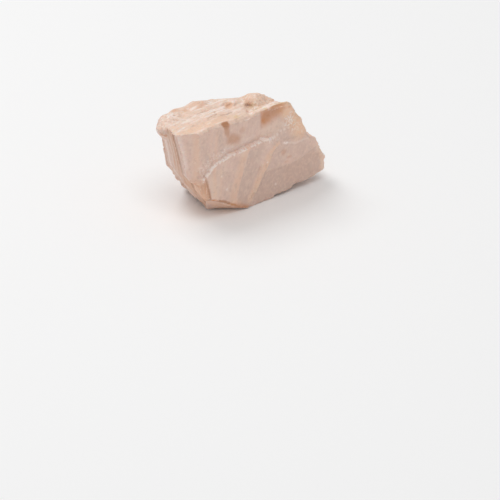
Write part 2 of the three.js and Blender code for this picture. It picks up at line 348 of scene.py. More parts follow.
# %% Wear the gully, the nose, the front's old steps and the top
WORN_PLACES = [  # middle, reach
    ((2.0, -1.4, 26.4), 2.4), ((2.0, -0.2, 26.4), 2.4), ((1.8, 1.2, 26.5), 2.4),
    ((1.6, 2.6, 26.7), 2.4), ((-15.4, -0.6, 27.0), 3.6), ((-20.6, -8.6, 24.8), 6.0),
]
WORN_STEPS = [
    [(-18.4, 14.8), (-17.6, 16.1), (-16.2, 17.6), (-14.6, 18.6), (-12.6, 18.9)],
    [(5.6, 18.9), (7.2, 19.1), (9.2, 19.8), (11.7, 20.8), (14.7, 22.5), (18.0, 24.0)],
    [(5.2, 17.6), (6.9, 15.9), (9.2, 15.4), (12.4, 15.2), (16.4, 15.2), (22.0, 15.1)],
]
WEAR = 80  # rounds of softening

worn = np.zeros(len(points))
for middle, reach in WORN_PLACES:
    worn = strongest(worn, fade_out(distance_to(points, [middle]), 0.4 * reach, reach))
for step in WORN_STEPS:
    close = fade_out(distance_to(face, step), 0.7, 1.5)
    worn = strongest(worn, 0.9 * close * fade(ahead, 4.6, 5.6))
back_from_edges = fade_out(ahead, 4.8, 5.9) * fade_out(points @ LEFT_FRONT, 13.6, 14.9)
upper = fade(points[:, 2], 24.6, 25.6) * fade(soft_normals[:, 2], 0.35, 0.7)
kept_pit = 1 - fade_out(from_pit, 1.7, 2.6)
worn = strongest(worn, 0.75 * upper * back_from_edges * kept_pit)
points += worn[:, None] * (soften(points, WEAR) - points)
print("worn points:", int((worn > 0.5).sum()))

# %% [markdown]
# ## The plates of the front
#
# The front is not one plane. Thin plates lie on the bare cleavage, and where the outer one has
# broken off there is a crisp ledge, called the crest here. A knife cut through the mesh would
# make that edge, but it would leave long thin faces. The skin is fine enough to do without:
# near the crest, points above it go to the level behind, and points below it to the outer
# plate. The right half of that plate has two lower ledges, made the same way: one to the right
# of a slanting band, and one below a diagonal.

# %% Break the outer plate off at a crisp ledge
BARE, INNER_PLATE, OUTER_PLATE = 6.44, 7.04, 7.64  # how far ahead each of them stands
RISER = 0.15  # half the width in which one level changes to the next
CREST = [(-18.0, 13.2), (-16.2, 14.9), (-14.4, 16.4), (-12.1, 16.9), (-9.7, 17.6), (-5.8, 17.8),
         (-2.4, 18.2), (0.9, 18.6), (2.9, 18.5), (4.9, 18.1)]


def height_of(line):
    """How high up a line across the front is, at each point's place along it."""
    return np.interp(along, *zip(*line))


def to_level(level, amount):
    """The move that brings points to a level ahead, by an amount from 0 to 1."""
    return (amount * (level - points @ FRONT))[:, None] * FRONT


above_crest = up - height_of(CREST)
above_crest += 0.12 * cloud(points, 1.6, 3, 44.0)
crest = fade(above_crest, -1.2, -0.8) * fade_out(above_crest, 1.4, 1.9) * fade(ahead, 5.6, 6.2)
crest *= fade(along, -18.2, -17.4) * fade_out(along, 3.4, 4.8)
behind = BARE + (INNER_PLATE - BARE) * fade_out(along, -12.5, -9.5)
points += to_level(behind + (OUTER_PLATE - behind) * fade_out(above_crest, -RISER, RISER), crest)
print("points laid at the crest:", int((crest > 0.5).sum()))

# %% Break the right half of the outer plate at two lower ledges
BAND_B = [(7.4, 15.7), (5.9, 14.8), (4.9, 13.8), (4.1, 11.8), (3.4, 10.5), (2.0, 8.7), (-1.4, 2.6)]
DIAGONAL = [(2.1, 8.7), (6.4, 8.8), (10.7, 8.7), (14.4, 9.2), (18.7, 11.0), (22.0, 12.2)]
RIGHT_DROP, CORNER_DROP = 0.3, 0.2  # how much lower it lies past each of the two


def along_of(line):
    """How far along a line up the front is, at each point's height."""
    heights, places = zip(*sorted((z, s) for s, z in line))
    return np.interp(up, heights, places)


uneven = 0.08 * cloud(points, 1.6, 3, 45.0)
right_of_b = along - along_of(BAND_B) + uneven
below = height_of(DIAGONAL) - up + uneven
drop = RIGHT_DROP + CORNER_DROP * fade(below, -RISER, RISER)
near_b = fade(right_of_b, -3.2, -2.4) * fade_out(right_of_b, 1.0, 1.8)
near_b *= fade(up, 3.2, 4.2) * fade_out(up, 14.8, 15.6)
near_diagonal = fade_out(np.abs(below), 1.3, 2.0) * fade(right_of_b, -0.6, 0.4)
near_diagonal *= fade_out(along, 17, 20)
ledges = strongest(near_b, near_diagonal) * fade(ahead, 5.6, 6.2)
points += to_level(OUTER_PLATE - drop * fade(right_of_b, -RISER, RISER), ledges)
print("points laid at the lower ledges:", int((ledges > 0.5).sum()))

# %% [markdown]
# ## Cracks
#
# The top carries a few short open cracks, and one longer crack runs down the front beside the
# plates. They are fine enough for a bump map, but a groove in the mesh has a true shadow, and
# it can be coloured by the same numbers later. A point counts as in a crack if it is near the
# crack's line, and noise makes that distance vary, so the crack is wider here and there.

# %% Open the cracks of the front and the top
TOP_CRACKS = [
    [(-11.4, -5.9), (-9.8, -5.0), (-8.5, -4.2), (-7.5, -3.4)],
    [(-8.6, -5.7), (-7.7, -4.8), (-6.7, -5.3), (-6.4, -6.4)],
    [(-8.2, -7.3), (-7.5, -6.6), (-6.7, -7.2)],
    [(-8.5, -8.7), (-7.7, -7.9), (-6.9, -8.1)],
    [(-14.2, -7.6), (-12.4, -6.8)],
    [(-5.2, -6.6), (-3.6, -5.9), (-2.2, -4.6)],
]
FRONT_CRACK = [(-18.2, 15.5), (-17.2, 12.4), (-16.4, 9.4), (-15.7, 6.8), (-15.0, 5.2)]
CRACK_DEPTH = 0.16

wobble = 1 + 0.35 * cloud(points, 1.0, 2, 46.0)
cracks = np.zeros(len(points))
for crack in TOP_CRACKS:
    cracks = strongest(cracks, fade_out(distance_to(points[:, :2], crack) * wobble, 0.05, 0.42))
cracks *= on_top * fade(points[:, 2], 25.2, 25.8)
in_front = fade(ahead, 3, 4)
front_crack = in_front * fade_out(distance_to(face, FRONT_CRACK) * wobble, 0.1, 0.45)
points -= (CRACK_DEPTH * strongest(cracks, front_crack))[:, None] * soft_normals
print("points in cracks:", int((strongest(cracks, front_crack) > 0.5).sum()))

# %% [markdown]
# ## The grain of the fracture
#
# A broken face of feldspar is as rough as a sugar lump. A bump map could fake it, but its
# edges would stay smooth against the light. So the broken points really move, by a tenth of a
# millimetre or so, coarse and fine at once, and more in some places than in others.

# %% Roughen the fracture
COARSE_GRAIN, FINE_GRAIN = 0.1, 0.06  # how high they are

rough = COARSE_GRAIN * cloud(points, 1.9, 4, 1.7) + FINE_GRAIN * cloud(points, 0.7, 2, 5.2)
rough *= broken * (0.45 + 0.55 * fade(cloud(points, 5, 1, 6.6), -0.4, 0.3))
points += soft_normals * rough[:, None]
print("fracture roughness, highest:", round(float(np.abs(rough).max()), 2), "mm")

# %% [markdown]
# ## The grain of the cleavages
#
# The front is nearly flat. It carries very thin leaves, a twentieth of a millimetre, that end
# along slanted lines. The left side shows the same leaves end on, as narrow upright strips.
# The top is cleaved too, but worn: low ridges run parallel to the front, with shallow dimples.
# All of it repeats without being regular. An array of pieces would look regular, so the skin
# moves by a saw-shaped wave whose place is shifted by noise. Noise that is stretched along
# the strips and the ridges makes the rest.

# %% Lay thin leaves on the front
LEAF = 0.05  # how thick a leaf is


def saw(distance, pitch, riser):
    """Rises slowly from -0.5 to 0.5 over each pitch and drops back over the riser's share."""
    t = np.mod(distance / pitch, 1)
    return np.where(t < 1 - riser, t / (1 - riser), (1 - t) / riser) - 0.5


slant = along - 0.42 * up + 0.8 * cloud(across, (6, 50, 9), 2, 2.2)
leaves = LEAF * saw(slant, 5.3, 0.06) + 0.03 * cloud(across, (2.5, 30, 11), 2, 4.4)
print("leaves, highest:", round(float(np.abs(on_front * leaves).max()), 2), "mm")

# %% Add the strips of the left side and the ridges of the top
STRIP, RIDGE, DIMPLE = 0.16, 0.13, 0.08  # how high or deep they are

strips = STRIP * saw(ahead + 0.25 * cloud(points, 5, 2, 9.1), 1.7, 0.14)
strips += 0.07 * cloud(across, (8, 0.5, 9), 2, 7.3)
ridges = RIDGE * cloud(across, (6.5, 1.3, 4), 3, 1.3) + 0.08 * cloud(across, (2.2, 0.6, 2), 2, 3.9)
dimples = -DIMPLE * fade(cloud(points, 1.8, 1, 12.6), 0.15, 0.5)
relief = on_front * leaves + on_left_side * strips + on_top * (ridges + dimples)
relief += on_left_front * 0.03 * cloud(across, (1.3, 3, 11), 2, 6.1)
points += soft_normals * relief[:, None]
print("ridges on the top, highest:", round(float(np.abs(on_top * ridges).max()), 2), "mm")

# %% [markdown]
# ## The foot stays flat
#
# The stone rests on a small flat spot. The shaping above has moved its points too, and they
# could have been left out each time. It is simpler to put them back to the ground at the end,
# and to lift any other point that has come down to it.

# %% Keep the resting spot flat
SPOT_TOP, SPOT_FACES_DOWN = 0.35, -0.995
CLEAR_OF_GROUND = 0.02

spot = (points[:, 2] < SPOT_TOP) & (soft_normals[:, 2] < SPOT_FACES_DOWN)
points[spot, 2] = 0
points[~spot, 2] = np.maximum(points[~spot, 2], CLEAR_OF_GROUND)
print("points on the resting spot:", int(spot.sum()))

# %% [markdown]
# ## What colours it
#
# Some colour follows the shape: sharp edges are bruised white, and dirt sits in the hollows. Some
# of it is painted light: the crests of the top's ridges are painted lighter and their troughs
# darker, and a few recesses, ledges and downward faces carry painted shade.
# The rest is where it happens to be: rust that crept in along cracks, warm and grey zones. It
# could be painted by hand on a flat texture, but then it would have to be wrapped round the
# stone. The skin's points lie close together, so each kind of mark becomes a number from 0 to
# 1 on every point, stored with the mesh for the material to read. A mark is a line through a
# few places, with a width and a strength.

# %% Define marks, and how they are stored
def hold(name, values):
    """Stores one number for each point of the skin under that name."""
    stored_values = stone.data.attributes.new(name, "FLOAT", "POINT")
    stored_values.data.foreach_set("value", np.clip(values, 0, 1).astype(np.float32))
    print(f"{name}: {np.clip(values, 0, 1).mean():.3f} on average")


def trail(at, places, width, ragged, seed):
    """1 along a line through the places, fading out over its width with a ragged edge."""
    nearest = distance_to(at, places) * (1 + ragged * cloud(points, max(0.8, width), 2, seed))
    return fade_out(nearest, 0.15 * width, width)


def drawn(at, marks, ragged, seed):
    """The strongest of a list of marks, each a line of places, its width and its strength."""
    return strongest(*[strength * trail(at, places, width, ragged, seed + number)
                       for number, (places, width, strength) in enumerate(marks)])


# %% Measure where the front is, and what is sharp and hollow in the finished shape
between_rims = fade(points[:, 2], 4, 6) * fade_out(points[:, 2], 21, 23)
on_face = fade(ahead, 4.6, 5.6) * fade(soft_normals @ FRONT + 0.6 * between_rims, 0.3, 0.7)
fine_bend = bend(5)
broad_bend = bend(30)
speckle = cloud(points, 0.7, 3, 2.9)
print("share of the front:", round(float(on_face.mean()), 3))

# %% [markdown]
# ## The smudge and the pit
#
# From the top edge of the front a brown smudge points down like a wedge. A line of one width
# would end in a bar, so its middle and its half width are given at a few heights, and in
# between they follow. Its mouth at the edge is the darkest part. The small pit on the top
# holds the same dirt. Both are found before the white bruises, which leave them free.

# %% Find the smudge and the pit
SMUDGE = [  # height, middle, half width
    (21.2, -8.7, 0.1), (22.8, -9.2, 0.6), (24.3, -9.5, 0.85), (26.0, -9.7, 1.15),
]
smudge_heights, smudge_middles, smudge_halves = zip(*SMUDGE)
off_middle = np.abs(along - np.interp(up, smudge_heights, smudge_middles))
smudge_half = np.interp(up, smudge_heights, smudge_halves) * (1 + 0.25 * speckle)
smudge = fade(smudge_half - off_middle, -0.35, 0.45)
smudge *= on_face * fade(up, 21.2, 23)
mouth = fade(up - 0.5 * off_middle, 24.6, 25.9)
in_pit = fade_out(distance_to(points, [PIT]), 1.0, 1.4)
print("share of the smudge:", round(float(smudge.mean()), 4))

# %% [markdown]
# ## The stripes of the left side
#
# The leaves end on the left side, and weather has stained each of them differently: a brown
# stripe next to the front corner, tan and rusty ones behind it, then a white one. The brown
# stripe is rust with painted shade of that corner over it. Stripes need only one distance, how
# far behind that corner a point lies. Noise that is stretched upwards frays their edges.

# %% Measure how far behind its front corner each point of the left side lies
CORNER = np.array([-17.1, -16.85, 26.6])
BACKWARDS = np.array([-0.5, 0.866, 0])
BLUR = 0.2  # half the width in which a stripe begins or ends

inward = (points - CORNER) @ BACKWARDS
on_side = fade(soft_normals @ LEFT_SIDE, 0.75, 0.93)
lines = cloud(np.column_stack([inward, 0 * inward, points[:, 2]]), (0.5, 1, 16), 2, 8.8)


def stripe(start, end, ragged=0.25):
    """1 between two distances behind the corner, on the left side only."""
    frayed = inward + ragged * lines
    begun = fade(frayed, start - BLUR, start + BLUR)
    return on_side * begun * fade_out(frayed, end - BLUR, end + BLUR)


print("share of the left side:", round(float(on_side.mean()), 3))

# %% [markdown]
# ## White bruises
#
# Where feldspar is knocked it crazes, and the many tiny cracks look white. It happens on
# every sharp edge, so most of it can follow the bend of the skin. The crest is bruised most,
# in a line that breaks up into grains. The rest are lines, spots and streaks of their own. Two
# of the white marks are painted light rather than bruises: the crests of the top's ridges,
# painted lighter where they stand highest as a highlight, and a faint band above the crest of
# the front, painted over the shade of the riser there. They could all be one white noise, but
# then the crest would be lost in it. So bruises add up where they meet, and noise breaks most
# of them up into grains.

# %% Bruise the edges and the ledges of the front
CREST_BEHIND = [(-18.2, 15.6), (-16.9, 16.9), (-14.9, 18.0), (-12.9, 18.6), (-10.9, 18.6)]
CREST_RIGHT = [(4.6, 17.8), (6.2, 18.3), (7.2, 18.6), (8.8, 19.5), (10.2, 20.3), (11.8, 21.2)]
LEDGE = [(8.5, 15.5), (10.2, 15.2), (12.8, 14.3), (15.1, 14.5), (17.1, 14.4)]
SHELLY = [(10.2, 21.8), (11.3, 21.6), (12.1, 20.7), (10.6, 20.3), (12.8, 19.2)]
# A faint band of painted light above the crest of the front, over the shaded riser there.
PAINTED_LIGHT_ABOVE_CREST = [(-10.5, 18.9), (-6.0, 19.4), (-1.0, 20.0)]
outer_half = 0.3 + 0.7 * fade(points @ FRONT, 6.9, 7.3)
sugar = fade(cloud(points, 0.4, 2, 4.9), 0.0, 0.25)
BRUISED_AND_LIT_LINES = [  # places, width, strength, ragged, seed, grains
    (CREST, 0.6, 1.3, 0.9, 1.1, fade(speckle, -0.45, 0.0) * outer_half),
    (CREST_BEHIND, 1.5, 0.55, 0.9, 2.1, sugar),
    (CREST_RIGHT, 0.9, 0.5, 0.9, 3.1, fade(speckle, -0.3, 0.2)),
    (LEDGE, 0.45, 0.35, 0.7, 4.1, 1),
    (SHELLY, 1.8, 1.0, 0.8, 11.0, sugar),
    # painted light: a faint white band above the crest, over the shade of the riser
    (PAINTED_LIGHT_ABOVE_CREST, 1.6, 0.22, 0.6, 13.0, 1),
]

bruise_and_highlight = 0.7 * fade(fine_bend + 0.012 * speckle, 0.035, 0.11) * fade(speckle, -0.4, 0.2)
for places, width, strength, ragged, seed, grains in BRUISED_AND_LIT_LINES:
    bruise_and_highlight += on_face * strength * trail(face, places, width, ragged, seed) * grains
print("bruised points of the front:", int((on_face * bruise_and_highlight > 0.5).sum()))

# %% Add the small spots and the rims
WHITE_SPOTS = [[(-12.2, 12.5)], [(-10.6, 8.1)], [(6.1, 4.2)], [(1.6, 18.7), (2.9, 18.4)],
               [(8.9, 15.5), (9.7, 15.2)], [(3.0, 11.7)]]
RIGHT_RIM = [(20.5, 11.0), (22.4, 7.8), (22.0, 4.5)]
FACET_EDGE = [(-16.9, -17, 26), (-14.9, -17, 17)]

for number, spots in enumerate(WHITE_SPOTS):
    bruise_and_highlight += on_face * 0.8 * trail(face, spots, 0.5, 0.7, 5.0 + number)
bruise_and_highlight += in_front * 0.3 * trail(face, RIGHT_RIM, 1.9, 0.6, 12.0)
bruise_and_highlight += 0.5 * on_left_front * fade_out(distance_to(points, FACET_EDGE), 0.6, 1.9)
lower_rim = fade(broad_bend, 0.08, 0.3) * fade(ahead, 5, 5.8) * fade_out(points[:, 2], 9, 12)
lower_rim *= fade(along, -1, 2)
bruise_and_highlight += 0.3 * lower_rim * fade(speckle, -0.3, 0.2)
print("share of the lower rim:", round(float(lower_rim.mean()), 3))

# %% Add the streaks of the top, its nose and knob, and the left side
TOP_STREAKS = [
    [(-12.4, -3.2, 26.6), (-8.2, 0.0, 27.1)],
    [(-7.6, 0.6, 27.1), (-3.4, 3.6, 27.1)],
    [(-9.6, -7.2, 27.0), (-5.6, -4.2, 27.0)],
    [(-6.0, -4.1, 27.0), (-2.6, -1.2, 27.0)],
    [(-2.0, -1.2, 27.0), (0.8, 1.0, 27.1)],
    [(-14.2, -10.4, 26.8), (-10.4, -7.4, 26.8)],
    [(-18.6, -8.4, 26.6), (-15.4, -6.0, 26.6)],
    [(2.6, -3.4, 26.5), (8.6, 0.6, 26.6), (12.0, 2.6, 26.4)],
]
NOSE, KNOB = [(-19.5, -8.5, 26)], [(4.3, 2.4, 27.2)]

streaky = fade(cloud(across, (2.4, 0.5, 2), 3, 13.3), -0.25, 0.35) * on_top
for number, streak in enumerate(TOP_STREAKS):
    bruise_and_highlight += trail(points, streak, 1.7, 0.8, 14.0 + number) * streaky
# Painted highlight: the crests of the top's ridges are painted white where the ridges stand highest.
bruise_and_highlight += on_top * 0.8 * fade(ridges + 0.03 * speckle, 0.0, 0.09) * (0.3 + 0.7 * streaky)
bruise_and_highlight += 0.55 * stripe(7.8, 8.5) + 0.2 * on_side * fade(lines, 0.15, 0.5)
on_nose = fade_out(distance_to(points, NOSE), 3, 5.5)
on_knob = fade_out(distance_to(points, KNOB), 3.5, 6.5)
bruise_and_highlight += (0.45 * on_nose + 0.5 * on_knob) * fade(cloud(points, 0.55, 2, 6.9), 0.12, 0.35)
hold("bruise_and_highlight", bruise_and_highlight * (1 - 0.85 * strongest(smudge, in_pit)))

# %% [markdown]
# ## Rust
#
# Iron from outside has crept into every crack and left it orange or brown. The largest stain
# starts sharply at a crack near the top edge of the front and fades out to the right. A
# narrow line of rust follows the crack beside the plates, and the corner to the left of it is
# ochre. Right beside that crack, a brown that fades out to the left is painted shadow of the
# step there, laid in with rust. The dark stripe at the front corner of the left side is rust
# with painted shade over it. All the other stains are soft spots and lines. Behind, where the
# stone is broken, rust sits in the hollows. Those needn't be drawn, because the bend of the skin
# finds them. Where stains meet, the strongest counts, because a place can't be rustier than rust.

# %% Find the ochre corner, and what lies beside the crack
left_of_crack = along_of(FRONT_CRACK) - along
ochre = fade(left_of_crack, -0.1, 0.3) * fade_out(up, 10.5, 14.0) * fade(ahead, -3, 0)
down_the_crack = fade_out(up, 10, 17)
# Painted shadow: the brown that fades out to the left of the crack stands for the shadow of its
# step.
shadow_beside_crack = fade(left_of_crack, -0.1, 0.2) * fade_out(left_of_crack, 0.0, 1.7) * fade(up, 4, 6)
print("ochre share:", round(float(ochre.mean()), 3))

# %% Let rust into the cracks of the front
STAIN_STARTS = 1.6  # how far along the front the crack is that the large stain starts at
STAIN_BLUR = 0.4  # half the width in which it starts
STAIN = [  # places, width, strength
    ([(2.7, 23.9)], 2.4, 0.9),
    ([(3.6, 24.6)], 4.0, 0.85),
    ([(4.2, 25.2), (7.8, 25.6)], 3.4, 0.7),
]
FRONT_RUST = [  # places, width, strength
    ([(9.5, 25.3)], 0.8, 0.5),
    ([(11.2, 25.0)], 0.7, 0.4),
    ([(-7.9, 21.6), (-6.3, 20.8)], 2.4, 0.46),
    ([(-4.3, 23.2)], 1.5, 0.25),
    ([(8.7, 12.9)], 1.3, 0.35),
    ([(10.0, 10.9), (11.0, 10.9)], 0.6, 0.3),
    ([(9.1, 9.8), (10.1, 9.7)], 0.5, 0.22),
    ([(-14.8, 6.0), (-12.9, 5.3), (-11.3, 4.7), (-9.9, 3.7), (-7.6, 2.5)], 0.6, 0.8),
    ([(-10.8, 4.1)], 0.5, 0.9),
    ([(-10.7, 2.6), (-7.5, 1.8), (-4, 0.4)], 1.9, 0.7),
    ([(10.5, 20.2), (12.3, 19.4)], 0.7, 0.18),
    ([(11.0, 6.5), (19.0, 8.0)], 4.5, 0.07),
]

past_start = fade(along, STAIN_STARTS - STAIN_BLUR, STAIN_STARTS + STAIN_BLUR)
rust_and_shade = strongest(
    on_face * past_start * drawn(face, STAIN, 0.22, 20.0),
    on_face * drawn(face, FRONT_RUST, 0.22, 23.0),
    0.6 * front_crack * down_the_crack,
    # painted shadow beside the crack's step, laid in with rust
    0.38 * in_front * shadow_beside_crack * down_the_crack,
    smudge * (0.45 + 0.4 * mouth),
)
print("rust on the front:", round(float(rust_and_shade.max()), 2), "at most")

# %% Let rust into the gully, under the nose, along the lower left edge and behind
RUST_ROUND = [  # places, width, strength
    ([(1.6, 0.4, 27.6), (2.4, -0.2, 26.8)], 1.1, 0.3),
    ([(4.4, -0.6, 26.4), (6.6, 0.4, 26.4)], 0.9, 0.2),
    ([(-21.6, -9.0, 23.2), (-20.9, -11.3, 23.5), (-19.5, -12.6, 23.6)], 1.0, 0.55),
    ([(-18.5, -10.0, 20.9), (-17.6, -9.8, 17.0)], 0.8, 0.35),
    ([PIT], 1.6, 0.3),
    ([(-14.5, -3.4, 26.9)], 1.2, 0.3),
    ([(-17.4, -3.8, 26.7)], 1.2, 0.3),
    ([(-13.3, -10.0, 7.3)], 3.2, 0.42),
]

hollow = 0.7 * fade(-broad_bend + 0.05 * speckle, 0.08, 0.4) + 0.5 * fade(-fine_bend, 0.05, 0.15)
patches = fade(cloud(points, 7, 4, 51.0), 0.05, 0.5) * fade(points[:, 1], -6, 2)
patches *= fade_out(ahead, 3.5, 5)
rust_and_shade = strongest(
    rust_and_shade,
    drawn(points, RUST_ROUND, 0.6, 41.0),
    broken * (0.55 - 0.5 * on_face) * hollow,
    # rust in the stripe at the front corner, which also carries painted shade of that corner
    0.6 * stripe(0.25, 1.6, 0.12),
    0.34 * stripe(1.6, 5.4) * fade(lines, -0.4, 0.3),
    0.35 * stripe(8.6, 30) * fade(speckle, -0.3, 0.4),
    ochre * (0.22 + 0.3 * fade(lines, 0.0, 0.5)),
    broken * 0.5 * patches,
)
hold("rust_and_shade", rust_and_shade)

# %% [markdown]
# ## Tan bands
#
# Each leaf of the front is tan along its worn right-hand edge: sharply at the edge itself,
# and fading out to the left. A symmetrical line can't do that, so a band looks only at which
# side of its line a point lies, and how far from it. Other worn places get the same tan. The
# troughs between the top's ridges get it too, as painted shade where the ridges lie lowest.

# %% Tint the worn edges of the leaves
BAND_A = [(-2.1, 17.9), (-3.3, 16.7), (-4.0, 14.3), (-5.0, 11.7), (-6.0, 8.7), (-7.2, 4.8)]
LEAF_ENDS = [  # line, width, strength
    (BAND_A, 3.4, 0.42),
    (BAND_B, 3.1, 0.55),
    ([(-12.2, 24.8), (-13.2, 17.1)], 1.3, 0.22),
    ([(-13.9, 25.3), (-15.2, 17.8)], 0.8, 0.17),
    ([(-14.0, 15.4), (-13.8, 7.8)], 1.6, 0.35),
    ([(-11.9, 14.6), (-12.2, 7.0)], 0.9, 0.25),
]


def tan_band(line, width):
    """1 at a line up the front, fading out to its left over the width."""
    low, high = min(z for _, z in line), max(z for _, z in line)
    left_of_line = along_of(line) + 0.3 * speckle - along
    band = fade(up, low - 1.2, low + 0.3) * fade_out(up, high - 0.3, high + 1.2)
    return band * fade(left_of_line, -0.15, 0.2) * fade_out(left_of_line, 0.45 * width, width)


tan = strongest(*[on_face * strength * tan_band(line, width) for line, width, strength in LEAF_ENDS])
print("share of the tan bands:", round(float(tan.mean()), 3))

# %% Tint the other worn places
APRICOT = ([(10.5, 24.4), (12.6, 21.4), (14.6, 18.0)], 4.6, 0.9)  # places, width, strength
FACET_END = -10.6  # where the facet at the left of the front ends, along X

left_of_end = FACET_END + 0.2 * speckle - points[:, 0]
facet_band = fade(left_of_end, -0.1, 0.15) * fade_out(left_of_end, 1.2, 2.4)
front_slope = on_top * fade(ahead, 1.2, 3.2) * fade_out(along, -8, -4)
foot = in_front * fade_out(points[:, 2], 3.5, 5) * fade_out(along, -8, -5)
tan = strongest(
    tan,
    on_face * drawn(face, [APRICOT], 0.3, 71.0),
    in_front * 0.6 * trail(face, RIGHT_RIM, 1.9, 0.4, 72.0),
    on_left_front * 0.32 * facet_band,
    # Painted shade: the troughs between the top's ridges are painted tan where the ridges lie
    # lowest.
    on_top * 0.35 * fade(-ridges + 0.03 * speckle, 0.0, 0.09),
    0.45 * stripe(1.2, 5.4),
    0.6 * ochre,
    0.6 * in_pit,
    0.35 * on_knob,
    0.45 * front_slope,
    0.6 * lower_rim,
    0.45 * foot,
)
hold("tan", tan)

# %% [markdown]
# ## Warm and grey zones
#
# Clear feldspar looks grey, because one sees into it, and milky feldspar is warmer. The lower
# right corner of the front and the strip beside the first tan band are the clearest. The top
# is warm. Large soft zones of two more colours say that better than one noise could, because
# they end where the ledges and the bands do.

# %% Mark the grey zones
GREY = [  # places, width, strength
    ([(-17, 23), (-16.5, 18)], 2.0, 0.4),
    ([(5, 13.0), (16, 12)], 2.8, 0.5),
    ([(-9.5, 20.0), (-10.0, 19.0)], 1.8, 0.4),
    ([(-11.9, 24.6), (-11.2, 19.5)], 1.5, 0.9),
    ([(-9.7, 25), (-9.0, 22)], 1.8, 0.7),
    ([(-10.2, 12.5), (-8.8, 5.5)], 2.0, 0.45),
]

lower_corner = fade(below, -0.1, 0.3) * fade(right_of_b, -0.1, 0.2)
right_of_a = along - along_of(BAND_A)
beside_a = fade(right_of_a, 0.0, 0.3) * fade_out(right_of_a, 3.0, 6.5) * fade_out(up, 16.5, 18)
clear_behind = fade(cloud(points, 8, 3, 57.0), 0.0, 0.5) * fade(points[:, 1], -6, 2)
grey = strongest(
    0.6 * broken * (1 - on_face) * clear_behind,
    0.6 * fade(soft_normals @ LEFT_SIDE, 0.8, 0.95),
    on_face * 0.95 * lower_corner,
    on_face * 0.5 * fade(right_of_b, -0.1, 0.2) * fade_out(right_of_b, 3, 9),
    on_face * beside_a,
    0.2 * front_slope,
    on_face * drawn(face, GREY, 0.3, 61.0),
)
hold("grey", grey)

# %% Mark the warm zones, and keep where it is cleaved
WARM = [  # places, width, strength
    ([(-14, 8), (-12.6, 14)], 2.4, 0.3),
    ([(3, 21), (8, 20.5)], 2.6, 0.5),
    ([(-15.6, 12.5), (-14.2, 6.5)], 1.8, 0.6),
]

warm = 0.8 * fade(points[:, 2], 24.5, 26.2) * fade(soft_normals[:, 2], 0.2, 0.7)
hold("warm", strongest(warm, on_face * drawn(face, WARM, 0.3, 73.0)))
hold("cleaved", cleaved)

# %% [markdown]
# ## Dark lines, painted shade and honey spots
#
# The bottoms of the cracks are drawn darker than rust alone makes them, and a few spots of the
# top are yellow like honey. Both could be more rust, but their colours differ, so each has its
# own number. Part of this darkening is painted shade: along the gully by the knob, on the lower
# left side where it faces down, under the lower edge of the outer plate with a black spot at the
# foot, beside the crack of the front, and in the stripe behind the front corner. The darkest
# places are a line near the foot, the stripe behind the front corner, and the cracks themselves.

# %% Darken the cracks, the dirtiest places, and the places painted in shade
DIRT_AND_SHADE_FRONT = [  # places, width, strength
    ([(3.6, 25.0), (6.5, 25.8)], 1.8, 0.22),
    # painted shadow under the lower edge of the outer plate, over a line of rust, and a black spot
    # of painted shadow at the foot
    ([(-12.9, 5.3), (-11.3, 4.7), (-9.9, 3.7)], 0.7, 0.5),
    ([(-10.8, 4.1)], 0.5, 0.7),
    ([(-7.9, 21.6), (-6.3, 20.8)], 2.4, 0.16),
]
DIRT_AND_SHADE_ROUND = [  # places, width, strength
    # painted shade on the lower left side, where it faces down
    ([(-15.8, -10.8, 12.0), (-14.6, -10.2, 9.5), (-13.3, -10.2, 7.3)], 3.0, 0.3),
    # painted shade along the gully between the top and the knob
    ([(2.8, -0.4, 26.2), (4.0, -2.2, 26.3)], 0.8, 0.5),
    ([(1.7, 2.4, 26.7), (2.1, -1.4, 26.4)], 0.9, 0.35),
]

dirt_and_shade = strongest(
    0.55 * cracks,
    # painted shade of the front corner of the left side, over rust
    0.6 * stripe(0.2, 1.5, 0.12),
    0.25 * stripe(1.6, 5.0) + 0.05 * stripe(8.8, 30),
    0.1 * in_pit,
    smudge * (0.1 + 0.38 * mouth),
    on_face * drawn(face, DIRT_AND_SHADE_FRONT, 0.4, 81.0),
    drawn(points, DIRT_AND_SHADE_ROUND, 0.5, 85.0),
    0.5 * front_crack * down_the_crack,
    # painted shadow beside the crack's step, darkened further
    0.15 * in_front * shadow_beside_crack * down_the_crack,
    0.05 * on_face * lower_corner,
    (0.3 * on_nose + 0.25 * on_knob) * fade(-cloud(points, 0.6, 2, 7.9), 0.1, 0.35),
)
hold("dirt_and_shade", dirt_and_shade)

# %% Yellow what iron has touched on the top
HONEY_SPOTS = [  # places, width, strength
    ([(2.6, -0.2, 26.4), (3.9, -2.4, 26.4)], 1.4, 0.7),
    ([(6.2, -2.0, 26.7)], 1.2, 0.9),
    ([(7.7, -0.6, 26.6), (10.3, 1.2, 26.6), (12.8, 3.0, 26.3)], 0.9, 0.6),
    ([(-1.0, -6.7, 26.6)], 1.4, 0.7),
]
hold("honey", drawn(points, HONEY_SPOTS, 0.5, 91.0))

# %% [markdown]
# ## The stone as one piece
#
# The skin now stands for the solid. It is shaded smooth, or each little square would glint by
# itself, but a real break has sharp edges too. So edges that bend by more than a set angle
# stay sharp. Then the piece is told which solid it stands for.

# %% Turn the finished skin into the stone
SHARP_FROM = 34  # degrees

stone.data.polygons.foreach_set("use_smooth", [True] * len(stone.data.polygons))
stone.data.set_sharp_from_angle(angle=math.radians(SHARP_FROM))
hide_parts("moonstone")
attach(stone, "root")
lowest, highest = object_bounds()
print("stone:", [round((b - a) / MM, 2) for a, b in zip(lowest, highest)], "mm")

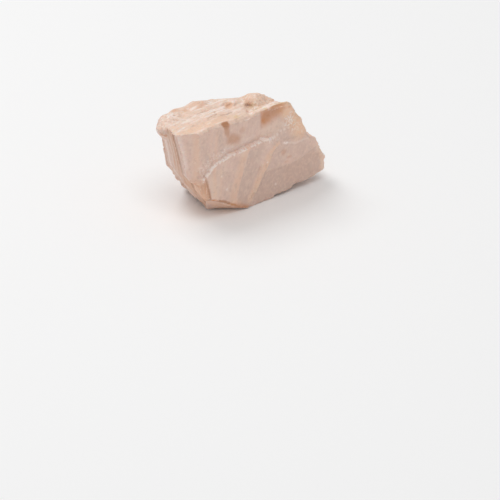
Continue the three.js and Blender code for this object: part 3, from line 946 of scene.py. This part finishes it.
# %% [markdown]
# ## The colour of the finish
#
# Feldspar is peach with grey and cream in it, and all the marks lie over that. One noise with
# a colour ramp would look like marble. Layers look like a stone, because each has its own
# reason, so every colour is mixed over the last by an amount from 0 to 1: milky clouds first,
# then the zones, then the fine patterns, which lean with the leaves, and rust, dirt and
# bruises on top, with the painted shade and painted highlights that they carry.

# %% Name the colours
PEACH = (0.82, 0.575, 0.48, 1)
CREAM = (0.88, 0.66, 0.53, 1)
GREY_PINK = (0.69, 0.488, 0.408, 1)
SHADOW_PINK = (0.60, 0.41, 0.33, 1)
TAN = (0.93, 0.59, 0.385, 1)
RUST_AND_SHADE_BROWN = (0.62, 0.235, 0.07, 1)
BRUISE_AND_HIGHLIGHT_WHITE = (1.0, 0.86, 0.79, 1)
DIRT_AND_SHADE_BROWN = (0.42, 0.225, 0.145, 1)
HONEY = (0.80, 0.58, 0.33, 1)
LEANING = (0, math.radians(15), math.radians(38))  # turns a pattern to lean with the leaves

material = bpy.data.materials.new("moonstone")
material.use_nodes = True
nodes, links = material.node_tree.nodes, material.node_tree.links
shader = nodes["Principled BSDF"]
on_stone = nodes.new("ShaderNodeTexCoord").outputs["Object"]
print("material:", material.name)


# %% Make the patterns that are everywhere
def clouds(size, detail, distortion=0.0, stretch=(1, 1, 1), turn=(0, 0, 0)):
    """Noise of that size in millimetres, longer along the axes whose stretch is larger."""
    mapping = nodes.new("ShaderNodeMapping")
    mapping.vector_type = "TEXTURE"
    mapping.inputs["Rotation"].default_value = turn
    mapping.inputs["Scale"].default_value = [size * MM * s for s in stretch]
    links.new(on_stone, mapping.inputs["Vector"])
    texture = nodes.new("ShaderNodeTexNoise")
    texture.inputs["Scale"].default_value = 1
    texture.inputs["Detail"].default_value = detail
    texture.inputs["Distortion"].default_value = distortion
    links.new(mapping.outputs["Vector"], texture.inputs["Vector"])
    return texture.outputs["Fac"]


def ramp(value, start, end, low=0.0, high=1.0):
    """A smooth step from low to high while the value goes from start to end."""
    node = nodes.new("ShaderNodeMapRange")
    node.interpolation_type = "SMOOTHSTEP"
    for name, number in zip(("From Min", "From Max", "To Min", "To Max"), (start, end, low, high)):
        node.inputs[name].default_value = number
    links.new(value, node.inputs["Value"])
    return node.outputs["Result"]


milk = ramp(clouds(4.5, 3), 0.35, 0.65)
bands = ramp(clouds(0.9, 3, 0.4, (1, 20, 9), LEANING), 0.38, 0.62)
fine_bands = ramp(clouds(0.28, 2, 0.2, (1, 20, 14), LEANING), 0.35, 0.65)
pale_mottle = ramp(clouds(0.8, 4, 0, (1, 1, 1.2), LEANING), 0.46, 0.64)
dark_mottle = ramp(clouds(1.1, 5, 0.5, (1, 1, 1.2), LEANING), 0.52, 0.7)
blotches = ramp(clouds(1.3, 4, 0.6), 0.3, 0.7, 0.85, 1.05)
grain = clouds(0.35, 5)
print("patterns:", len([node for node in nodes if node.type == "TEX_NOISE"]))


# %% Break the rust up into blotches, and the bruises into grains
def stored(name):
    """The number that the points hold under that name."""
    node = nodes.new("ShaderNodeAttribute")
    node.attribute_name = name
    return node.outputs["Fac"]


def feed(socket, value):
    """Links a socket to another one, or sets it to a plain value."""
    if isinstance(value, bpy.types.NodeSocket):
        links.new(value, socket)
    else:
        socket.default_value = value


def join(operation, a, b):
    """Joins two numbers, by MULTIPLY or ADD."""
    node = nodes.new("ShaderNodeMath")
    node.operation = operation
    feed(node.inputs[0], a)
    feed(node.inputs[1], b)
    return node.outputs["Value"]


blotchy_rust_and_shade = join("MULTIPLY", stored("rust_and_shade"), blotches)
grainy_bruise_and_highlight = join("MULTIPLY", stored("bruise_and_highlight"), ramp(grain, 0.25, 0.6, 0.5, 0.95))
print("joined:", len([node for node in nodes if node.type == "MATH"]), "pairs of numbers")


# %% Lay the colours over each other
def layer(under, over, amount):
    """Mixes one colour over another by an amount from 0 to 1."""
    node = nodes.new("ShaderNodeMix")
    node.data_type = "RGBA"
    feed(node.inputs[0], amount)
    feed(node.inputs[6], under)
    feed(node.inputs[7], over)
    return node.outputs[2]


LAYERS = [
    (GREY_PINK, join("MULTIPLY", milk, 0.45)),
    (GREY_PINK, stored("grey")),
    (CREAM, stored("warm")),
    (TAN, stored("tan")),
    (HONEY, stored("honey")),
    (CREAM, join("MULTIPLY", bands, 0.13)),
    (GREY_PINK, join("MULTIPLY", fine_bands, 0.05)),
    (CREAM, join("MULTIPLY", pale_mottle, 0.42)),
    (SHADOW_PINK, join("MULTIPLY", dark_mottle, 0.36)),
    (RUST_AND_SHADE_BROWN, blotchy_rust_and_shade),
    (DIRT_AND_SHADE_BROWN, stored("dirt_and_shade")),
    (BRUISE_AND_HIGHLIGHT_WHITE, grainy_bruise_and_highlight),
]
colour = PEACH
for over, amount in LAYERS:
    colour = layer(colour, over, amount)
links.new(colour, shader.inputs["Base Color"])
print("colour layers:", len(LAYERS))

# %% [markdown]
# ## Its lustre and its grain
#
# Feldspar is milky: light goes a millimetre or two into it and comes out again, which is what
# subsurface scattering imitates. A see-through shader would be closer to nature, but it is
# slow and noisy for so little depth. A cleavage shines like a pearl, with faint lines, and a
# break is dull and grainy, so the roughness and the bump both follow where it is cleaved. A
# thin coat gives the soft glint on top. The bump adds what is too fine for the skin's points.

# %% Give it its lustre
smooth_here = stored("cleaved")
feed(shader.inputs["Roughness"], ramp(smooth_here, 0.2, 0.9, 0.62, 0.34))
FINISH = {
    "Specular IOR Level": 0.5,
    "IOR": 1.53,
    "Subsurface Weight": 0.25,
    "Subsurface Radius": (1.0, 0.62, 0.45),
    "Subsurface Scale": 0.8 * MM,
    "Coat Weight": 0.12,
    "Coat Roughness": 0.28,
}
for name, value in FINISH.items():
    feed(shader.inputs[name], value)
stone.data.materials.append(material)
print("settings of the finish:", len(FINISH))

# %% Give it its grain
BUMP_STRENGTH, BUMP_DEPTH = 0.75, 0.16

grainy = join("MULTIPLY", grain, ramp(smooth_here, 0.2, 0.9, 1.0, 0.16))
lined = join("MULTIPLY", fine_bands, 0.02)
bump = nodes.new("ShaderNodeBump")
bump.inputs["Strength"].default_value = BUMP_STRENGTH
bump.inputs["Distance"].default_value = BUMP_DEPTH * MM
links.new(join("ADD", grainy, lined), bump.inputs["Height"])
links.new(bump.outputs["Normal"], shader.inputs["Normal"])
print("bump:", BUMP_DEPTH, "mm deep")

# %% [markdown]
# ## The studio
#
# The stone lies on a pale floor that is wide enough to fill the view. A backdrop could curve
# up behind it, but the world is white too, so the floor has no visible end anyway. Two broad
# soft lights do the rest, because hard ones would make the pearly front glare: the stronger
# one hangs above, to the left and a little behind, and the other nearly overhead and a
# little in front. Lengths are in metres from here on, unless they say otherwise.

# %% Lay the floor
FLOOR = 3.0  # half its side
FLOOR_COLOUR = (0.98, 0.98, 0.98, 1)

bm = bmesh.new()
bmesh.ops.create_grid(bm, x_segments=1, y_segments=1, size=FLOOR)
floor_mesh = bpy.data.meshes.new("floor")
bm.to_mesh(floor_mesh)
bm.free()
floor = bpy.data.objects.new("floor", floor_mesh)
bpy.context.scene.collection.objects.link(floor)
pale = bpy.data.materials.new("floor")
pale.use_nodes = True
floor_shader = pale.node_tree.nodes["Principled BSDF"]
floor_shader.inputs["Base Color"].default_value = FLOOR_COLOUR
floor_shader.inputs["Roughness"].default_value = 0.9
floor_mesh.materials.append(pale)
print("floor:", 2 * FLOOR, "m square")


# %% Hang the lights
def softbox(name, at, aim, side, watts):
    """A square light that hangs at a place and faces another."""
    light = bpy.data.lights.new(name, "AREA")
    light.shape = "SQUARE"
    light.size = side
    light.energy = watts
    lamp = bpy.data.objects.new(name, light)
    lamp.location = at
    lamp.rotation_euler = (Vector(aim) - Vector(at)).to_track_quat("-Z", "Y").to_euler()
    bpy.context.scene.collection.objects.link(lamp)


softbox("overhead", at=(-0.4, 0.3, 0.8), aim=(0, 0, 0), side=0.55, watts=3.35)
softbox("front", at=(0.1, -0.4, 0.95), aim=(0, 0, 0.01), side=0.5, watts=2.2)

# %% Whiten the world
world = bpy.data.worlds.new("studio")
world.use_nodes = True
background = world.node_tree.nodes["Background"]
background.inputs["Color"].default_value = (1, 1, 1, 1)
background.inputs["Strength"].default_value = 0.46
bpy.context.scene.world = world
bpy.context.scene.view_settings.view_transform = "Standard"
print("world:", round(background.inputs["Strength"].default_value, 2), "bright")

# %% [markdown]
# ## The camera
#
# It looks down at 28 degrees. From close by the stone would look bulged, and a camera without
# perspective would look flat, so it stands far away and looks through a long lens, which
# keeps the stone's edges nearly parallel. The stone stands above the middle of the view, and
# a view that is 131 mm wide where the stone is leaves room round it.

# %% Place the camera
DISTANCE = 3000  # all of these in millimetres
VIEW_WIDTH = 130.9
MEASURED_AT = (0, -8, 13)  # where the view is that wide
AIM = (2.48, -31.03, 0)

camera = bpy.data.cameras.new("camera")
camera.sensor_width = 36
to_stone = DISTANCE - (np.array(MEASURED_AT) - AIM) @ TOWARDS_CAMERA
camera.lens = camera.sensor_width * to_stone / VIEW_WIDTH
viewer = bpy.data.objects.new("camera", camera)
viewer.location = (np.array(AIM) + TOWARDS_CAMERA * DISTANCE) * MM
viewer.rotation_euler = Vector(-TOWARDS_CAMERA).to_track_quat("-Z", "Y").to_euler()
bpy.context.scene.collection.objects.link(viewer)
bpy.context.scene.camera = viewer
print("lens:", round(camera.lens), "mm")
